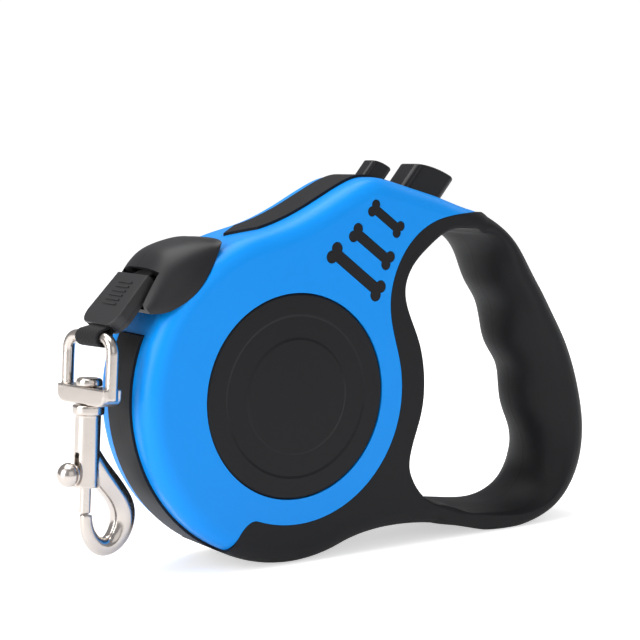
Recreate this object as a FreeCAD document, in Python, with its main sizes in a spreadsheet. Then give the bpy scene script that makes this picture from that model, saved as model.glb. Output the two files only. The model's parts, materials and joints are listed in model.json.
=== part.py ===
"""Retractable pet leash: a drum of webbing in a two-shell case with a hand loop, a brake button, a lock button
and a swivel snap that hangs from the webbing.

Millimetres. +X runs from the nozzle towards the hand loop, +Z is up, and the case halves part at y = 0. Shapes are
drawn about the drum's axle, and every sub-part's placement lifts the axle to sizes.axis_height, so that the part
stands on z = 0.
"""
import FreeCAD
import Part
import Sketcher
import math
import os
from FreeCAD import Placement, Rotation, Vector

SIZES = (
    ("axis_height", 48.5, "drum axle above the surface that the case stands on"),
    ("case_width", 32.0, "over both faces of the case"),
    ("rim_radius", 48.6, "round rim of the case, about the axle"),
    ("strip_width", 13.2, "black strip left between the two covers"),
    ("strip_rise", 0.8, "strip above the covers"),
    ("cover_wall", 2.0, "thickness of a coloured cover"),
    ("cover_round", 5.5, "rounding of a cover's outer edge"),
    ("case_round", 5.0, "rounding of the black case's outer edge"),
    ("hole_round", 0.8, "rounding of the hand hole's edge beside the drum"),
    ("cover_edge_radius", 36.9, "round part of the line between cover and case"),
    ("badge_radius", 29.5, "round cap in the middle of a cover"),
    ("part_gap", 0.15, "gap between neighbouring shells"),
    ("chamber_radius", 44.2, "drum chamber in the case"),
    ("chamber_half", 11.9, "half the drum chamber's width"),
    ("flange_radius", 43.2, "drum flanges, over the ratchet teeth"),
    ("flange_half", 7.1, "half the width over the drum flanges"),
    ("tooth_depth", 2.3, "ratchet tooth"),
    ("tooth_count", 24, "ratchet teeth"),
    ("drum_radius", 23.2, "core that the webbing winds on"),
    ("tape_width", 9.8, "webbing"),
    ("tape_thickness", 0.7, "webbing"),
    ("tape_shift", -1.3, "sideways place of the webbing loop on the snap's bar"),
    ("coil_radius", 40.7, "outside of the wound webbing"),
    ("axle_radius", 4.0, "fixed axle"),
    ("lead_angle", 7.0, "fall of the webbing from the coil to the nozzle, degrees"),
    ("guard_angle", 48.1, "fall of the tape guard, degrees"),
    ("guard_length", 18.6, "tape guard along the webbing"),
    ("guard_width", 20.0, "tape guard across the webbing"),
    ("button_lean", 40.0, "lean of both buttons from upright, degrees"),
    ("brake_travel", 3.5, "press of the brake button"),
    ("lock_travel", 2.5, "press of the lock button"),
    ("grip_half", 15.2, "half the hand grip's width"),
    ("grip_wall", 2.5, "wall of the hollow grip"),
    ("screw_radius", 1.3, "case screw's shank"),
    ("snap_lean", 3.4, "lean of the hanging snap, degrees"),
    ("snap_turn", 10.5, "turn of the hanging snap about upright, degrees"),
    ("wire_radius", 1.7, "rod of the snap's eye"),
    ("eye_half", 10.0, "half the distance between the eye's posts"),
    ("barrel_radius", 3.55, "barrel of the snap"),
    ("bolt_radius", 1.6, "spring bolt of the snap"),
    ("bolt_travel", 5.0, "opening of the spring bolt"),
    ("running_gap", 0.08, "radial gap of a pin in its hole"),
)

doc = FreeCAD.newDocument("retractable_leash")
sheet = doc.addObject("Spreadsheet::Sheet", "sizes")
for row, (alias, value, note) in enumerate(SIZES, start=1):
    sheet.set(f"A{row}", alias)
    sheet.set(f"B{row}", str(value))
    sheet.set(f"C{row}", note)
    sheet.setAlias(f"B{row}", alias)
doc.recompute()
nodes = {}


def size(alias):
    """A driving dimension from the sheet."""
    return float(sheet.get(alias))


FACE = size("case_width") / 2
STRIP = size("strip_width") / 2
RIM = size("rim_radius")
GAP = size("part_gap")

# ---------------------------------------------------------------- drawing in the side plane, as (x, z) pairs


def spline(points, start=None, end=None):
    """A smooth curve through points, with its directions at both ends where they are given."""
    curve = Part.BSplineCurve()
    vectors = [Vector(x, z, 0) for x, z in points]
    if start is None:
        curve.interpolate(vectors)
    else:
        curve.interpolate(Points=vectors, InitialTangent=Vector(*start, 0), FinalTangent=Vector(*end, 0))
    return curve


def led_spline(points, start, end, lead=2.0):
    """A smooth curve whose ends follow a short straight lead, for outlines that turn sharply between points."""
    first, last = points[0], points[-1]
    after = (first[0] + lead * start[0], first[1] + lead * start[1])
    before = (last[0] - lead * end[0], last[1] - lead * end[1])
    return spline([first, after] + points[1:-1] + [before, last])


def shifted(points, distance, start, end):
    """The same spline, moved sideways to the right of its direction."""
    curve = spline(points, start, end)
    moved = []
    for x, z in points:
        along = curve.tangent(curve.parameter(Vector(x, z, 0)))[0]
        moved.append((x + distance * along.y, z - distance * along.x))
    return spline(moved, start, end)


def line(a, b):
    return Part.LineSegment(Vector(*a, 0), Vector(*b, 0))


def polygon(points):
    return [line(a, b) for a, b in zip(points, points[1:] + points[:1])]


def ends(curve):
    first = curve.value(curve.FirstParameter)
    last = curve.value(curve.LastParameter)
    return (first.x, first.y), (last.x, last.y)


def arc(radius, start, stop, centre=(0.0, 0.0)):
    """Part of a circle, between two angles in degrees, anticlockwise."""
    circle = Part.Circle(Vector(*centre, 0), Vector(0, 0, 1), radius)
    return Part.ArcOfCircle(circle, math.radians(start), math.radians(stop))


def polar(radius, angle):
    return radius * math.cos(math.radians(angle)), radius * math.sin(math.radians(angle))


# ---------------------------------------------------------------- document helpers


def prism(name, curves, low, high):
    """A side-plane outline extruded from y = low to y = high; both may be expressions."""
    sketch = doc.addObject("Sketcher::SketchObject", name + "_outline")
    sketch.Placement = Placement(Vector(0, 0, 0), Rotation(Vector(1, 0, 0), 90))
    for curve in curves:
        sketch.addGeometry(curve, False)
    sketch.setExpression("Placement.Base.y", str(low))
    solid = doc.addObject("Part::Extrusion", name)
    solid.Base = sketch
    solid.DirMode = "Custom"
    solid.Dir = Vector(0, 1, 0)
    solid.Solid = True
    solid.setExpression("LengthFwd", f"({high}) - ({low})")
    return solid


def rod(name, radius, low, high, place=(0.0, 0.0)):
    """A cylinder along Y, from y = low to y = high, at a place in the side plane."""
    solid = doc.addObject("Part::Cylinder", name)
    solid.Placement = Placement(Vector(place[0], 0, place[1]), Rotation(Vector(1, 0, 0), -90))
    solid.setExpression("Radius", str(radius))
    solid.setExpression("Height", f"({high}) - ({low})")
    solid.setExpression("Placement.Base.y", str(low))
    return solid


def block(name, low, high, place=Placement()):
    """A box between two corners of its own frame, which place sets down."""
    solid = doc.addObject("Part::Box", name)
    solid.Length = high[0] - low[0]
    solid.Width = high[1] - low[1]
    solid.Height = high[2] - low[2]
    solid.Placement = place.multiply(Placement(Vector(*low), Rotation()))
    return solid


def fused(name, solids):
    result = doc.addObject("Part::MultiFuse", name)
    result.Shapes = solids
    return result


def cut(name, base, tools):
    result = doc.addObject("Part::Cut", name)
    result.Base = base
    result.Tool = tools[0] if len(tools) == 1 else fused(name + "_tools", tools)
    return result


def common(name, first, second):
    result = doc.addObject("Part::Common", name)
    result.Base = first
    result.Tool = second
    return result


def rounded(name, base, groups):
    """Fillets on base. Each group is (radius, y of the edge's plane, side-plane curves that the edge follows)."""
    doc.recompute()
    edges = []
    for radius, y, curves in groups:
        shapes = [curve.toShape() for curve in curves]
        for number, edge in enumerate(base.Shape.Edges, start=1):
            box = edge.BoundBox
            if abs(box.YMin - y) > 1e-4 or abs(box.YMax - y) > 1e-4:
                continue
            middle = edge.valueAt((edge.FirstParameter + edge.LastParameter) / 2)
            spot = Part.Vertex(middle.x, middle.z, 0)
            if min(shape.distToShape(spot)[0] for shape in shapes) < 1e-3:
                edges.append((number, radius, radius))
    result = doc.addObject("Part::Fillet", name)
    result.Base = base
    result.Edges = edges
    return result


def shape_feature(name, shape):
    """A solid made with Part's own functions, where no feature makes its form."""
    feature = doc.addObject("Part::Feature", name)
    feature.Shape = shape
    return feature


def node(label, obj, place=None):
    """Names a finished sub-part and sets it down; place is in the axle's frame."""
    obj.Label = label
    obj.Placement = place or Placement()
    height = obj.Placement.Base.z
    obj.setExpression("Placement.Base.z", f"sizes.axis_height + {height}")
    nodes[label] = obj
    return obj


def body(label, place=None):
    part = doc.addObject("PartDesign::Body", label + "_body")
    node(label, part, place)
    return part


def origin_plane(part, role):
    return next(plane for plane in part.Origin.OriginFeatures if plane.Role == role)


def sketch(part, name, role, curves, offset=0.0):
    drawing = part.newObject("Sketcher::SketchObject", name)
    drawing.AttachmentSupport = [(origin_plane(part, role), "")]
    drawing.MapMode = "FlatFace"
    drawing.AttachmentOffset = Placement(Vector(0, 0, offset), Rotation())
    for curve in curves:
        drawing.addGeometry(curve, False)
    drawing.Visibility = False
    return drawing


def circle(radius, centre=(0.0, 0.0)):
    return Part.Circle(Vector(*centre, 0), Vector(0, 0, 1), radius)


def pad(part, drawing, length, reverse=False, both=False):
    feature = part.newObject("PartDesign::Pad", drawing.Name + "_pad")
    feature.Profile = drawing
    feature.setExpression("Length", str(length))
    feature.Reversed = reverse
    feature.Midplane = both
    return feature


def pocket(part, drawing, length, reverse=False, both=False):
    feature = part.newObject("PartDesign::Pocket", drawing.Name + "_pocket")
    feature.Profile = drawing
    feature.setExpression("Length", str(length))
    feature.Reversed = reverse
    feature.Midplane = both
    doc.recompute()
    return feature


def soften(part, feature, radius, chosen):
    """Rounds the edges of a body's feature that chosen picks out."""
    doc.recompute()
    names = [f"Edge{number}" for number, edge in enumerate(feature.Shape.Edges, start=1) if chosen(edge)]
    fillet = part.newObject("PartDesign::Fillet", feature.Name + "_round")
    fillet.Base = (feature, names)
    fillet.Radius = radius
    doc.recompute()
    return fillet


def upright(edge):
    box = edge.BoundBox
    return box.XLength < 1e-5 and box.YLength < 1e-5 and box.ZLength > 4


def turned(part, name, role, points, axis):
    """A profile turned once round an axis of its own sketch, V_Axis or H_Axis."""
    drawing = sketch(part, name, role, polygon(points))
    feature = part.newObject("PartDesign::Revolution", name + "_turned")
    feature.Profile = drawing
    feature.ReferenceAxis = (drawing, [axis])
    feature.Angle = 360
    return feature


def ring(label, inner, outer, low, high):
    """A flat or tall ring round the Y axis, turned from its half section."""
    part = body(label)
    turned(part, label + "_section", "XY_Plane",
           [(inner, low), (outer, low), (outer, high), (inner, high)], "V_Axis")
    return part


# ---------------------------------------------------------------- outlines of the case

GRIP_TOP_IN = (67.6, 44.9)
GRIP_TOP_OUT = (71.6, 50.2)
GRIP_END_IN = (52.0, -37.6)
GRIP_END_OUT = (51.0, -43.7)
TOP_RUN = (0.80, -0.60)
END_RUN = (0.987, -0.162)
HOLE_END_RUN = (0.94, -0.34)
ARCH_ANGLE = -70.0
CREST_ANGLE = 104.0

ARCH = [GRIP_END_OUT, (38.0, -42.6), (27.0, -43.2), polar(RIM, ARCH_ANGLE)]
CREST = [polar(RIM, CREST_ANGLE), (-5.0, 48.9), (3.5, 52.0), (12.6, 56.5), (21.5, 61.0), (27.5, 62.8),
         (34.0, 62.1), (44.0, 59.4), (55.0, 56.3), (64.5, 53.2), GRIP_TOP_OUT]
HOLE = [GRIP_TOP_IN, (62.5, 46.5), (56.0, 46.3), (47.5, 41.6), (40.4, 34.5), (38.5, 28.8), (39.8, 22.2),
        (43.6, 13.2), (45.6, 2.8), (44.7, -8.5), (40.8, -20.5), (40.4, -25.0), (42.2, -29.8), (46.2, -34.6), GRIP_END_IN]


def reverse(direction):
    return -direction[0], -direction[1]


def clockwise(angle):
    """Direction of travel round the rim, clockwise, at an angle."""
    return math.sin(math.radians(angle)), -math.cos(math.radians(angle))


def case_outline(inset=0.0):
    """Outline of the case without its hand loop; inset moves all of it but the hand hole's edge inwards."""
    arch = shifted(ARCH, inset, reverse(END_RUN), clockwise(ARCH_ANGLE))
    crest = shifted(CREST, inset, clockwise(CREST_ANGLE), TOP_RUN)
    hole = led_spline(HOLE, reverse(TOP_RUN), HOLE_END_RUN)
    rim = arc(RIM - inset, CREST_ANGLE, 360 + ARCH_ANGLE)
    outer = [arch, rim, crest]
    closing = [line(ends(crest)[1], GRIP_TOP_IN), line(GRIP_END_IN, ends(arch)[0])]
    return outer, hole, outer + [hole] + closing


def cover_region(gap=0.0):
    """The side of the case that a cover takes, bounded by the line where it meets the black case."""
    edge = size("cover_edge_radius")
    low_angle, high_angle = -111.0, 13.0
    start = polar(edge, low_angle)
    foot = shifted([(-24.8, -46.5), (-20.8, -40.2), (-18.2, -36.4), start], gap,
                   (0.5, 0.87), reverse(clockwise(low_angle)))
    joint = polar(edge, high_angle)
    neck = shifted([joint, (34.0, 15.5), (32.6, 24.8), (34.8, 34.8), (41.4, 44.2), (51.5, 49.7), (62.0, 51.1),
                    (76.0, 51.4)], gap, reverse(clockwise(high_angle)), (1.0, 0.0))
    bend = arc(edge + gap, low_angle, high_angle)
    far = 80.0
    first, last = ends(foot)[0], ends(neck)[1]
    frame = [last, (last[0], far), (-far, far), (-far, -far), (first[0], -far), first]
    return [foot, bend, neck] + [line(a, b) for a, b in zip(frame, frame[1:])]


TAB_FOOT = 19.4
STRIP_TIP = -15.0
STRIP_TAPER = 8.0
TAB_BEHIND = -32.0


def tab_region(name, side, gap=0.0):
    """Where the covers meet over the strip: below the nozzle, and above it where the strip runs to a point."""
    wide = STRIP + 0.3
    low = min(0.0, side * wide)
    front = Part.makeBox(30.0, wide, 20.0, Vector(-65.0, low, TAB_FOOT - gap))
    tip = STRIP_TIP + 1.5 * gap
    corners = [(tip, 0.0), (tip + STRIP_TAPER, side * wide), (TAB_BEHIND, side * wide), (TAB_BEHIND, 0.0)]
    base = Part.Face(Part.makePolygon([Vector(x, y, 30.0) for x, y in corners + corners[:1]]))
    return shape_feature(name, Part.makeCompound([front, base.extrude(Vector(0, 0, 30.0))]))


def tab(name, side, inner, gap, near):
    """The shell between the cover's outside and an inset of inner, kept to the tab region, from y = near."""
    wide = STRIP + 0.3
    low, high = sorted((side * near, side * wide))
    _, _, outline = case_outline(-1.0 if gap else size("strip_rise"))
    _, _, within = case_outline(inner)
    outside = prism(name + "_outside", outline, low, high)
    inside = prism(name + "_inside", within, low - 1, high + 1)
    return cut(name, common(name + "_kept", outside, tab_region(name + "_region", side, gap)), [inside])


def blank(name, side, inset, face, back, radius):
    """A slab of the case's outline with its outer edge rounded, between y = side * face and side * back."""
    outer, _, outline = case_outline(inset)
    low, high = sorted((side * face, side * back))
    slab = prism(name + "_slab", outline, low, high)
    return rounded(name, slab, [(radius, side * face, outer)])


# ---------------------------------------------------------------- hand grip, lofted through its sections

# Each station: the inner point on the parting line, the outer point, and how round the section is (0 to 1).
STATIONS = [
    (GRIP_TOP_IN, GRIP_TOP_OUT, 0.0),
    ((72.0, 43.2), (78.2, 47.0), 0.75),
    ((75.6, 38.2), (85.2, 41.6), 1.0),
    ((77.4, 32.4), (89.8, 36.5), 1.0),
    ((78.8, 28.0), (92.9, 32.6), 1.0),
    ((83.4, 21.2), (97.2, 26.4), 1.0),
    ((84.6, 13.4), (101.2, 20.5), 1.0),
    ((85.6, 7.8), (104.4, 15.4), 1.0),
    ((90.4, 0.8), (108.2, 8.6), 1.0),
    ((91.6, -6.8), (112.2, -1.6), 1.0),
    ((92.8, -13.4), (114.3, -9.4), 1.0),
    ((96.6, -21.0), (115.6, -18.4), 1.0),
    ((98.2, -27.6), (115.0, -27.2), 1.0),
    ((97.6, -33.6), (112.0, -35.2), 1.0),
    ((94.4, -38.2), (105.8, -42.6), 1.0),
    ((88.6, -41.8), (96.8, -47.2), 0.8),
    ((80.0, -42.8), (85.5, -49.6), 0.5),
    ((70.5, -42.2), (73.0, -48.9), 0.15),
    ((62.5, -41.0), (61.5, -45.9), 0.0),
    (GRIP_END_IN, GRIP_END_OUT, 0.0),
]


def grip_section(inner, outer, roundness, side, wall=0.0):
    """Half a section of the hand loop: crowned on the hand side, a flat face, and a rounded back."""
    depth = math.dist(inner, outer) - 2 * wall
    across = ((outer[0] - inner[0]) / math.dist(inner, outer), (outer[1] - inner[1]) / math.dist(inner, outer))
    start = (inner[0] + wall * across[0], inner[1] + wall * across[1])
    half = FACE + roundness * (size("grip_half") - FACE) - wall
    lip = max(size("hole_round") - wall, 0.3)
    shallow = min(size("case_round") + 3.0 * roundness, 0.52 * depth)
    corner = min((1 - roundness) * size("case_round") + roundness * shallow, depth - lip - 0.2) - 0.2 * wall
    crown = 1.2 * roundness
    sharp = [(0, 0), (0, -0.3 * half), (0, -0.6 * half), (0, lip - half),
             (0, 0.5 * lip - half), (0.5 * lip, -half), (lip, -half)]
    egg = [(0, 0), (0, -0.30 * half), (2.0, -0.55 * half), (5.4, -0.72 * half),
           (8.0, -0.85 * half), (10.5, -half), (13.0, -half)]
    reach = min(1.0, (depth - corner - 0.4) / 13.0) if roundness else 1.0
    front = [((1 - roundness) * a[0] + roundness * reach * b[0], (1 - roundness) * a[1] + roundness * b[1])
             for a, b in zip(sharp, egg)]
    back = [(depth - corner, -half), (depth - 0.45 * corner, -half), (depth - crown, 0.55 * corner - half),
            (depth - crown, corner - half), (depth - crown, 0.5 * (corner - half)),
            (depth, 0.3 * (corner - half)), (depth, 0)]

    def spot(point):
        return Vector(start[0] + point[0] * across[0], -side * point[1], start[1] + point[0] * across[1])

    def bezier(points):
        curve = Part.BezierCurve()
        curve.setPoles([spot(point) for point in points])
        return curve.toShape()

    edges = [bezier(front[0:4]), bezier(front[3:7])]
    edges.append(Part.LineSegment(spot(front[6]), spot(back[0])).toShape())
    edges += [bezier(back[0:4]), bezier(back[3:7])]
    edges.append(Part.LineSegment(spot(back[6]), spot(front[0])).toShape())
    return Part.Wire(edges)


def grip(name, side):
    """Half the loop, its two end sections a hair smaller than the slab that they meet."""
    step = 0.05
    sections = [grip_section(*station, side) for station in STATIONS[1:-1]]
    sections.insert(0, grip_section(*STATIONS[0], side, step))
    sections.append(grip_section(*STATIONS[-1], side, step))
    return shape_feature(name, Part.makeLoft(sections, True, False))


def grip_hollow(name, side):
    first, last = 7, -5
    sections = [grip_section(*station, side, size("grip_wall")) for station in STATIONS[first:last]]
    return shape_feature(name, Part.makeLoft(sections, True, False))


# ---------------------------------------------------------------- frames of the leaning pieces

LEAN = math.radians(size("button_lean"))
UP = (math.sin(LEAN), math.cos(LEAN))
BACK = (math.cos(LEAN), -math.sin(LEAN))
BRAKE_AT = (51.6, 57.15)
LOCK_AT = (35.8, 61.45)


def button_place(spot):
    return Placement(Vector(spot[0], 0, spot[1]), Rotation(Vector(0, 1, 0), size("button_lean")))


STEM_CENTRE = -(BRAKE_AT[0] * BACK[0] + BRAKE_AT[1] * BACK[1])
AXLE_DEPTH = BRAKE_AT[0] * UP[0] + BRAKE_AT[1] * UP[1]
PAWL_TIP = 45.0 - AXLE_DEPTH
STEM_END = -24.0

FALL = math.radians(size("lead_angle"))
LEAD_RUN = (-math.cos(FALL), -math.sin(FALL))
LEAD_FROM = (-size("coil_radius") * math.sin(FALL), size("coil_radius") * math.cos(FALL))
LEAD_LENGTH = 36.0
BEND_AT = (LEAD_FROM[0] + LEAD_LENGTH * LEAD_RUN[0], LEAD_FROM[1] + LEAD_LENGTH * LEAD_RUN[1])
DROP = math.radians(size("guard_angle"))
GUARD_RUN = (-math.cos(DROP), -math.sin(DROP))
GUARD_OUT = (-math.sin(DROP), math.cos(DROP))
BAR_AT = (-56.6, 19.15)


def at_guard(along, out):
    """A point given along the tape guard from its top end, and outwards from the webbing's middle."""
    return (BEND_AT[0] + (along + 1.0) * GUARD_RUN[0] + out * GUARD_OUT[0],
            BEND_AT[1] + (along + 1.0) * GUARD_RUN[1] + out * GUARD_OUT[1])


def at_lead(along, out):
    """A point given along the straight lead from the coil, and upwards from its middle."""
    return (LEAD_FROM[0] + along * LEAD_RUN[0] - out * LEAD_RUN[1],
            LEAD_FROM[1] + along * LEAD_RUN[1] - out * LEAD_RUN[0])


# ---------------------------------------------------------------- nozzle outline

NOZZLE_SEAT = [(-21.8, 45.6), (-24.4, 41.0), (-28.6, 34.9), (-33.6, 29.9), (-39.2, 26.6), (-45.2, 25.7)]


def nozzle_seat(gap=0.0):
    """Curve along which the hood sits on the case."""
    return shifted(NOZZLE_SEAT, -gap, (-0.35, -0.94), (-1.0, 0.05))


def polygon_open(points):
    return [line(a, b) for a, b in zip(points, points[1:])]


def nozzle_gap():
    """Outline of the room that the hood takes from the case and the covers, with the assembly gap."""
    seat = nozzle_seat(GAP)
    back, front = ends(seat)
    return [seat] + polygon_open([front, (-60.0, 25.6), (-60.0, 60.0), (back[0], 60.0), back])


SCREWS = [(15.5, 50.6), (36.6, -37.6), (91.0, 18.4), (105.6, -24.0)]
SCREW_HEAD = 2.6
SCREW_SEAT = 11.6
SCREW_END = -9.0


def lead_way(name):
    """Passage for the webbing between the drum chamber and the nozzle."""
    lead = [at_lead(along, out) for along, out in ((0, -1.5), (60, -1.5), (60, 1.5), (0, 1.5))]
    return prism(name, polygon(lead), "-sizes.tape_width/2 - 0.6", "sizes.tape_width/2 + 0.6")


def case_half(label, side):
    """One black half: side wall, rim, drum chamber, button wells and half of the hollow hand loop."""
    outer, hole, outline = case_outline()
    low, high = sorted((side * FACE, 0.0))
    slab = prism(label + "_slab", outline, low, high)
    shell = rounded(label + "_shell", slab, [(size("case_round"), side * FACE, outer),
                                             (size("hole_round"), side * FACE, [hole])])
    loop = grip(label + "_grip", side)
    solid = fused(label + "_outside", [shell, loop])

    low, high = sorted((side * STRIP, side * (FACE + 4)))
    taken = prism(label + "_cover_side", cover_region(GAP), low, high)
    wall = size("cover_wall") + 0.1
    kept = blank(label + "_core", side, wall + size("strip_rise"), FACE - wall, STRIP - 1,
                 size("cover_round") - wall)
    cover_space = cut(label + "_cover_space", taken, [kept] + bones(label, side, GAP, FACE - 0.05))

    low, high = sorted((0.0, side * size("chamber_half")))
    tools = [cover_space, tab(label + "_tab_space", side, wall + size("strip_rise"), GAP, 0.0)]
    tools.append(rod(label + "_chamber", "sizes.chamber_radius", low, high))
    tools.append(grip_hollow(label + "_hollow", side))
    seat = nozzle_gap()
    tools.append(prism(label + "_nozzle_seat", seat, "-sizes.case_width", "sizes.case_width"))
    tools += button_wells(label) + screw_holes(label, side)
    tools.append(lead_way(label + "_lead_way"))
    tools.append(block(label + "_below", (-80, -20, -80), (130, 20, -size("axis_height"))))
    hollow = cut(label + "_hollowed", solid, tools)

    low, high = sorted((side * size("chamber_half"), side * 10.2))
    boss = rod(label + "_boss", "sizes.axle_radius + 3", low, high)
    bore = rod(label + "_bore", "sizes.axle_radius + sizes.running_gap", *sorted((0.0, side * size("chamber_half"))))
    screw = rod(label + "_axle_screw_hole", "sizes.screw_radius + sizes.part_gap",
                *sorted((0.0, side * 20.0)))
    node(label, cut(label + "_done", fused(label + "_bossed", [hollow, boss]), [bore, screw]))


def button_wells(label):
    """The space of the brake button, its stem and spring, and of the lock button and its latch arm."""
    brake = button_place(BRAKE_AT)
    lock = button_place(LOCK_AT)
    travel = size("brake_travel")
    lock_travel = size("lock_travel")
    floor = -6.3 - travel - 0.2
    stem = STEM_CENTRE
    boxes = [
        ("brake_well", (-6.5, -5.4, -4.8 - travel), (8.2, 5.4, 14), brake),
        ("brake_pocket", (-7.5, -6.4, floor), (3.5, 6.4, -4.7), brake),
        ("stem_way", (stem - 2.6, -8.8, -36), (stem + 2.6, 8.8, -5.4), brake),
        ("spring_way", (0.1, -1.9, -16), (3.5, 1.9, floor + 0.5), brake),
        ("lock_well", (-3.8, -3.2, -9.2), (3.8, 3.2, 12), lock),
        ("lock_pocket", (-4.9, -4.1, -4.7 - lock_travel - 0.2), (4.9, 4.1, -3.1), lock),
        ("latch_way", (-3.0, -3.0, -9.5 - lock_travel - 0.3), (12.2, 3.0, -6.2), lock),
    ]
    return [block(f"{label}_{name}", low, high, place) for name, low, high, place in boxes]


def screw_holes(label, side):
    """Head recesses and clearance holes in the far half, blind pilot holes in the near half."""
    holes = []
    for number, spot in enumerate(SCREWS):
        reach = SCREW_SEAT if side > 0 else SCREW_END - 0.5
        holes.append(rod(f"{label}_screw{number}", "sizes.screw_radius + sizes.running_gap",
                         *sorted((0.0, reach + side * 0.1)), spot))
        if side > 0:
            holes.append(rod(f"{label}_head{number}", f"{SCREW_HEAD} + 0.25", SCREW_SEAT, 20, spot))
    return holes


BONES = [((13.0, 40.4), (27.8, 29.2), 1.0), ((20.4, 46.0), (31.4, 37.9), 0.9), ((26.8, 53.0), (35.2, 46.9), 0.8)]
BONE_SHANK = 1.85
BONE_LOBE = 1.9


def bones(label, side, gap, top):
    """Three bone shapes, each a straight shank with two lobes at either end, up to y = side * top."""
    low, high = sorted((side * top, side * (FACE - 3)))
    tools = []
    for number, (head, foot, scale) in enumerate(BONES):
        length = math.dist(head, foot)
        along = ((foot[0] - head[0]) / length, (foot[1] - head[1]) / length)
        across = (-along[1], along[0])
        half = BONE_SHANK * scale - gap
        corners = [(head[0] + s * half * across[0], head[1] + s * half * across[1]) for s in (-1, 1)]
        corners += [(foot[0] + s * half * across[0], foot[1] + s * half * across[1]) for s in (1, -1)]
        tools.append(prism(f"{label}_bone{number}", polygon(corners), low, high))
        for end, way in ((head, -1), (foot, 1)):
            for hand in (-1, 1):
                spot = [end[i] + scale * (0.35 * way * along[i] + 1.5 * hand * across[i]) for i in (0, 1)]
                name = f"{label}_bone{number}_{'tail' if way > 0 else 'top'}_{hand + 1}"
                tools.append(rod(name, BONE_LOBE * scale - gap, low, high, spot))
    return tools


def cover(label, side):
    """A coloured cover: a thin shell that wraps the case's rim up to the black strip."""
    rise = size("strip_rise")
    wall = size("cover_wall")
    edge = STRIP + GAP / 2
    outside = blank(label + "_outside", side, rise, FACE, edge, size("cover_round"))
    inside = blank(label + "_inside", side, rise + wall, FACE - wall, edge - 1, size("cover_round") - wall)
    low, high = sorted((side * (FACE + 1), side * (edge - 2)))
    region = prism(label + "_region", cover_region(), low, high)
    seat = nozzle_gap()
    tools = [inside, prism(label + "_nozzle_seat", seat, "-sizes.case_width", "sizes.case_width")]
    tools.append(rod(label + "_window", "sizes.badge_radius + sizes.part_gap", low, high))
    tools += bones(label, side, 0.0, FACE + 1)
    half = cut(label + "_half", common(label + "_side", outside, region), tools)
    bridge = cut(label + "_bridge", tab(label + "_tab", side, rise + wall, 0.0, 0.05),
                 [prism(label + "_bridge_seat", seat, "-sizes.case_width", "sizes.case_width"),
                  lead_way(label + "_lead_way")])
    node(label, fused(label + "_done", [half, bridge]))


def badge(label, side):
    """Round cap with a shallow ring channel, and a hollow behind it for the axle screw's head."""
    part = body(label)
    face = side * FACE
    back = side * (FACE - size("cover_wall") - 0.05)
    floor = side * (FACE - 0.25)
    edge = size("badge_radius")
    hollow = side * (FACE - 1.0)
    profile = [(0, face), (16.2, face), (16.9, floor), (22.9, floor), (23.6, face), (edge - 0.6, face),
               (edge, side * (FACE - 0.5)), (edge, back), (3.6, back), (3.6, hollow), (0, hollow)]
    turned(part, label + "_section", "XY_Plane", profile, "V_Axis")


# Sections of the hood from the case to the mouth: seat, crown and half width.
HOOD = [
    ((-22.6, 44.0), (-21.9, 45.5), 12.4),
    ((-25.0, 40.0), (-25.5, 45.7), 13.6),
    ((-27.6, 36.2), (-30.0, 45.2), 14.6),
    ((-30.5, 32.9), (-34.5, 44.0), 15.2),
    ((-34.0, 29.7), (-38.6, 42.0), 15.3),
    ((-38.0, 27.2), (-42.2, 38.0), 14.9),
    ((-42.0, 26.0), (-45.2, 32.8), 13.9),
    ((-45.0, 25.7), (-46.9, 29.2), 12.4),
]
HOOD_SINK = 0.8


def hood_section(seat, crown, half, side):
    """Half a D-shaped section: upright side, round shoulder, and a crown on the middle plane."""
    length = math.dist(seat, crown)
    rise = ((crown[0] - seat[0]) / length, (crown[1] - seat[1]) / length)
    middle = 0.02

    def spot(height, y):
        return Vector(seat[0] + height * rise[0], side * y, seat[1] + height * rise[1])

    shoulder = Part.BezierCurve()
    shoulder.setPoles([spot(0.0, half), spot(0.55 * length, half), spot(0.97 * length, 0.82 * half),
                       spot(length, 0.4 * half), spot(length, middle)])
    edges = [Part.LineSegment(spot(-HOOD_SINK, middle), spot(-HOOD_SINK, half)).toShape(),
             Part.LineSegment(spot(-HOOD_SINK, half), spot(0.0, half)).toShape(),
             shoulder.toShape(),
             Part.LineSegment(spot(length, middle), spot(-HOOD_SINK, middle)).toShape()]
    return Part.Wire(edges)


def nozzle(label, side):
    """Half of the nozzle: a domed hood, open in front for the tape guard."""
    seat = nozzle_seat()
    dome = shape_feature(label + "_dome", Part.makeLoft([hood_section(*s, side) for s in HOOD], True, False))
    first, last = ends(seat)
    above = [seat, line(last, (-70.0, last[1])), line((-70.0, last[1]), (-70.0, 70.0)),
             line((-70.0, 70.0), (first[0], 70.0)), line((first[0], 70.0), first)]
    low, high = sorted((0.0, side * 20.0))
    hood = common(label + "_hood", dome, prism(label + "_above_seat", above, low, high))
    throat = polygon([at_guard(-1.2, -2.6), at_guard(26, -2.6), at_guard(26, 12), at_guard(-1.2, 12)])
    lead = polygon([at_lead(along, out) for along, out in ((0, -1.3), (60, -1.3), (60, 1.3), (0, 1.3))])
    low, high = sorted((0.0, side * (size("guard_width") / 2 + 0.6)))
    tools = [prism(label + "_throat", throat, low, high)]
    low, high = sorted((0.0, side * (size("tape_width") / 2 + 0.5)))
    tools.append(prism(label + "_slot", lead, low, high))
    tools.append(rod(label + "_bar_seat", "1.6", *sorted((0.0, side * 9.5)), at_lead(31.0, -2.35)))
    node(label, cut(label + "_done", hood, tools))


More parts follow.
